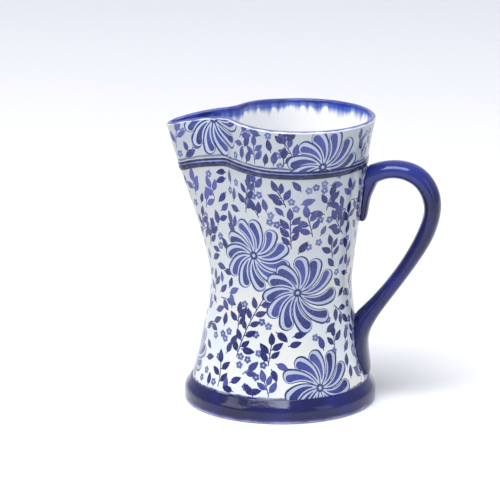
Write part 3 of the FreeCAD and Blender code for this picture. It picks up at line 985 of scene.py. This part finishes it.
def rim_look():
    """Rolled rim: white outside, a thin lilac line on top, and cobalt from there inwards."""
    look, colour = porcelain("rim_glaze", RIM_TINTS)
    depth = look.attribute("depth")
    blotch = look.noise(210.0, 3.0)
    shifted = look.combine("ADD", depth, look.spread(blotch, -0.25, 0.25))
    spout = look.span(look.axis("X"), -0.016, -0.024)
    edge = look.span(spout, 0.0, 1.0, -2.15, -2.40)
    line = look.combine("MULTIPLY", look.combine("SUBTRACT", shifted, edge), 5.0, use_clamp=True)
    line = look.combine("MULTIPLY", line, look.span(spout, 0.0, 1.0, 0.85, 0.92))
    colour = look.mix(line, colour, rgba(58, 62, 140))
    blue = look.ramp(blotch, ((0.35, (34, 42, 130)), (0.62, (74, 80, 160))))
    return look.finish(look.mix(look.span(shifted, -1.15, -0.7, 0.0, 0.92), colour, blue))


def ink_look(name, tones, wear=0.22, by_reach=False):
    """Printed cobalt: each mark has its tone and is cloudy and thin in places, and may pale by reach."""
    look = glaze(name)
    tone = look.attribute("tone")
    cloud = look.spread(look.noise(38.0, 2.0), -0.3, 0.3)
    colour = look.ramp(look.combine("ADD", tone, cloud), tones)
    if by_reach:
        reach = look.attribute("reach")
        colour = look.mix(look.span(reach, 0.80, 0.35, 0.0, 0.35), colour, rgba(72, 84, 158))
    thin = look.span(look.noise(1900.0, 2.0), 0.5, 0.8, 0.0, wear)
    return look.finish(look.mix(thin, colour, rgba(150, 164, 208)))


def cobalt_look(name, toe=False, painted_top_light=False):
    """Deep cobalt glaze; a toe wears to bare white, and the top of a strap is painted a brighter blue as
    painted light.
    """
    look = glaze(name)
    cloud = look.noise(55.0, 3.0)
    colour = look.ramp(cloud, ((0.3, (15, 15, 58)), (0.55, (20, 23, 80)), (0.75, (29, 38, 114))))
    mottle = look.span(look.noise(700.0, 3.0), 0.45, 0.75, 0.0, 0.25)
    colour = look.mix(mottle, colour, rgba(40, 46, 100))
    up = look.axis("Z")
    if painted_top_light:
        # painted light: the top of the handle is painted a brighter blue where the light from above falls
        # on it
        colour = look.mix(look.span(up, 0.080, 0.094, 0.0, 0.6), colour, rgba(44, 60, 150))
    if toe:
        ragged = look.combine("ADD", up, look.spread(look.noise(180.0, 3.0), -0.0003, 0.0003))
        bare = look.span(ragged, 0.0011, 0.0006)
        colour = look.mix(bare, colour, rgba(226, 224, 226))
        bleed = look.span(ragged, 0.0019, 0.0011, 0.0, 0.6)
        colour = look.mix(bleed, colour, rgba(92, 100, 170))
    return look.finish(colour, rough=(0.05, 0.11), ripple=0.06)


def luting_look():
    """Glaze over the luting clay, stained by the cobalt beside it."""
    look, colour = porcelain("luting_glaze", GROUND_TINTS)
    stain = look.span(look.noise(600.0, 3.0), 0.35, 0.6)
    return look.finish(look.mix(stain, colour, rgba(92, 104, 176)))


def cord_look(name, dark, light, thin):
    """Cobalt of one strip of the cord, broken by paler patches."""
    look = glaze(name)
    colour = look.ramp(look.noise(60.0, 3.0), ((0.35, dark), (0.65, light)))
    breaks = look.span(look.noise(520.0, 3.0, (1, 1, 2)), 0.5, 0.8, 0.0, thin)
    return look.finish(look.mix(breaks, colour, rgba(170, 182, 222)))


def dress(piece, materials):
    """Gives a piece its materials in order; only a CAD mesh has some to be taken away first."""
    if piece.data.materials:
        piece.data.materials.clear()
    for material in materials:
        piece.data.materials.append(material)


# ---- the pieces

body = make_body()
dress(body, (
    ground_look(),
    ink_look("pale_band", ((0.2, (156, 167, 190)), (0.8, (172, 181, 198))), wear=0.35),
    ink_look("outline_blue", ((0.2, (28, 34, 92)), (0.8, (42, 50, 108)))),
    ink_look("heart_blue", ((0.0, (14, 22, 86)), (0.5, (32, 40, 104)), (1.0, (56, 64, 132))),
             by_reach=True),
    ink_look("leaf_blue", ((0.0, (12, 18, 84)), (0.5, (30, 37, 100)), (0.9, (54, 60, 122)),
                           (1.0, (70, 75, 138)))),
    ink_look("floret_blue", ((0.0, (58, 72, 126)), (1.0, (92, 105, 150))), wear=0.5),
    inside_look(),
    rim_look()))
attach(body, "root")
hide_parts("body_shell")

cord = make_cord()
dress(cord, (
    cord_look("cord_line", (10, 10, 52), (18, 22, 78), 0.10),
    cord_look("cord_gap", (76, 88, 146), (116, 128, 180), 0.45),
    cord_look("cord_ridge", (8, 13, 50), (22, 31, 76), 0.14)))
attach(cord, "root")
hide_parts("neck_cord")

foot = make_foot()
dress(foot, (cobalt_look("foot_cobalt", toe=True),))
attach(foot, "root")
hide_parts("foot_ring")

handle = make_handle()
# the handle's top is painted brighter blue as painted light
dress(handle, (cobalt_look("handle_cobalt", painted_top_light=True),))
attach(handle, "root")
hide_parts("handle")

luting = luting_look()
for name in ("upper_slip_joint", "lower_slip_joint"):
    dress(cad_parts[name], (luting,))


# ---- floor, lights and camera

def make_floor():
    """Pale sweep: a level floor that curves up behind the jug."""
    mesh = bmesh.new()
    half, front, back, bend, height = 2.5, -2.5, 1.6, 0.6, 2.4
    path = [(front, 0.0), (-0.4, 0.0), (0.4, 0.0), (back - bend, 0.0)]
    path += [tuple(p) for p in arc(back - bend, bend, bend, -math.pi / 2, 0, 16)[1:]] + [(back, height)]
    rows = [[mesh.verts.new((x, y, z)) for x in (-half, 0.0, half)] for y, z in path]
    for low, high in zip(rows, rows[1:]):
        for i in range(2):
            mesh.faces.new((low[i], low[i + 1], high[i + 1], high[i]))
    floor = finish_mesh("floor", mesh)
    look = Look("floor_white")
    tone = look.ramp(look.noise(2.0, 2.0), ((0.3, (246, 247, 250)), (0.7, (250, 250, 252))))
    # painted shade: the white sweep is painted grey-blue towards the back, where the light falls off
    behind = look.span(look.axis("Y"), 0.25, 1.0)
    tone = look.mix(behind, tone, rgba(236, 238, 244))
    look.shader.inputs["Specular IOR Level"].default_value = 0.2
    dress(floor, (look.finish(tone, rough=(0.6, 0.75), ripple=0.02, ripple_scale=40.0),))


def soft_light(name, place, aim, size, energy, colour=(1, 1, 1)):
    """Rectangular light at a place in metres, turned towards its aim."""
    data = bpy.data.lights.new(name, "AREA")
    data.shape = "RECTANGLE"
    data.size, data.size_y = size
    data.energy = energy
    data.color = colour
    light = bpy.data.objects.new(name, data)
    light.location = place
    light.rotation_euler = (Vector(aim) - Vector(place)).to_track_quat("-Z", "Y").to_euler()
    bpy.context.scene.collection.objects.link(light)


# Camera: degrees above the jug and round towards the handle, lengths in metres, lens in millimetres.
ELEVATION = 15.5
AZIMUTH = 8.0
DISTANCE = 1.5
AIM_HEIGHT = 0.057
SLIDE_UP = 0.00193
SLIDE_LEFT = 0.0118
LENS = 279.07


def make_camera():
    """Long lens, looking down at the middle of the jug; the slide centres the jug in the frame."""
    elevation, azimuth = math.radians(ELEVATION), math.radians(AZIMUTH)
    aim = Vector((0, 0, AIM_HEIGHT))
    back = Vector((math.cos(elevation) * math.sin(azimuth), -math.cos(elevation) * math.cos(azimuth),
                   math.sin(elevation)))
    right = Vector((math.cos(azimuth), math.sin(azimuth), 0))
    over = back.cross(right)
    slide = over * SLIDE_UP - right * SLIDE_LEFT
    data = bpy.data.cameras.new("camera")
    data.sensor_width = 36.0
    data.lens = LENS
    data.clip_end = 20.0
    camera = bpy.data.objects.new("camera", data)
    camera.location = aim + slide + back * DISTANCE
    camera.rotation_euler = (-back).to_track_quat("-Z", "Y").to_euler()
    bpy.context.scene.collection.objects.link(camera)
    bpy.context.scene.camera = camera


make_floor()
middle = (0, 0, 0.06)
soft_light("top", (-0.1, -0.45, 1.15), middle, (0.9, 0.7), 14.2)
soft_light("key", (-1.1, -0.8, 0.8), middle, (0.8, 0.8), 4.5)
soft_light("fill", (1.2, -0.6, 0.5), middle, (0.5, 0.9), 1.5, (0.96, 0.97, 1.0))
world = bpy.data.worlds.new("studio")
world.use_nodes = True
background = world.node_tree.nodes["Background"]
background.inputs["Color"].default_value = (0.95, 0.965, 1.0, 1)
background.inputs["Strength"].default_value = 0.55
bpy.context.scene.world = world
bpy.context.scene.view_settings.view_transform = "Standard"
make_camera()
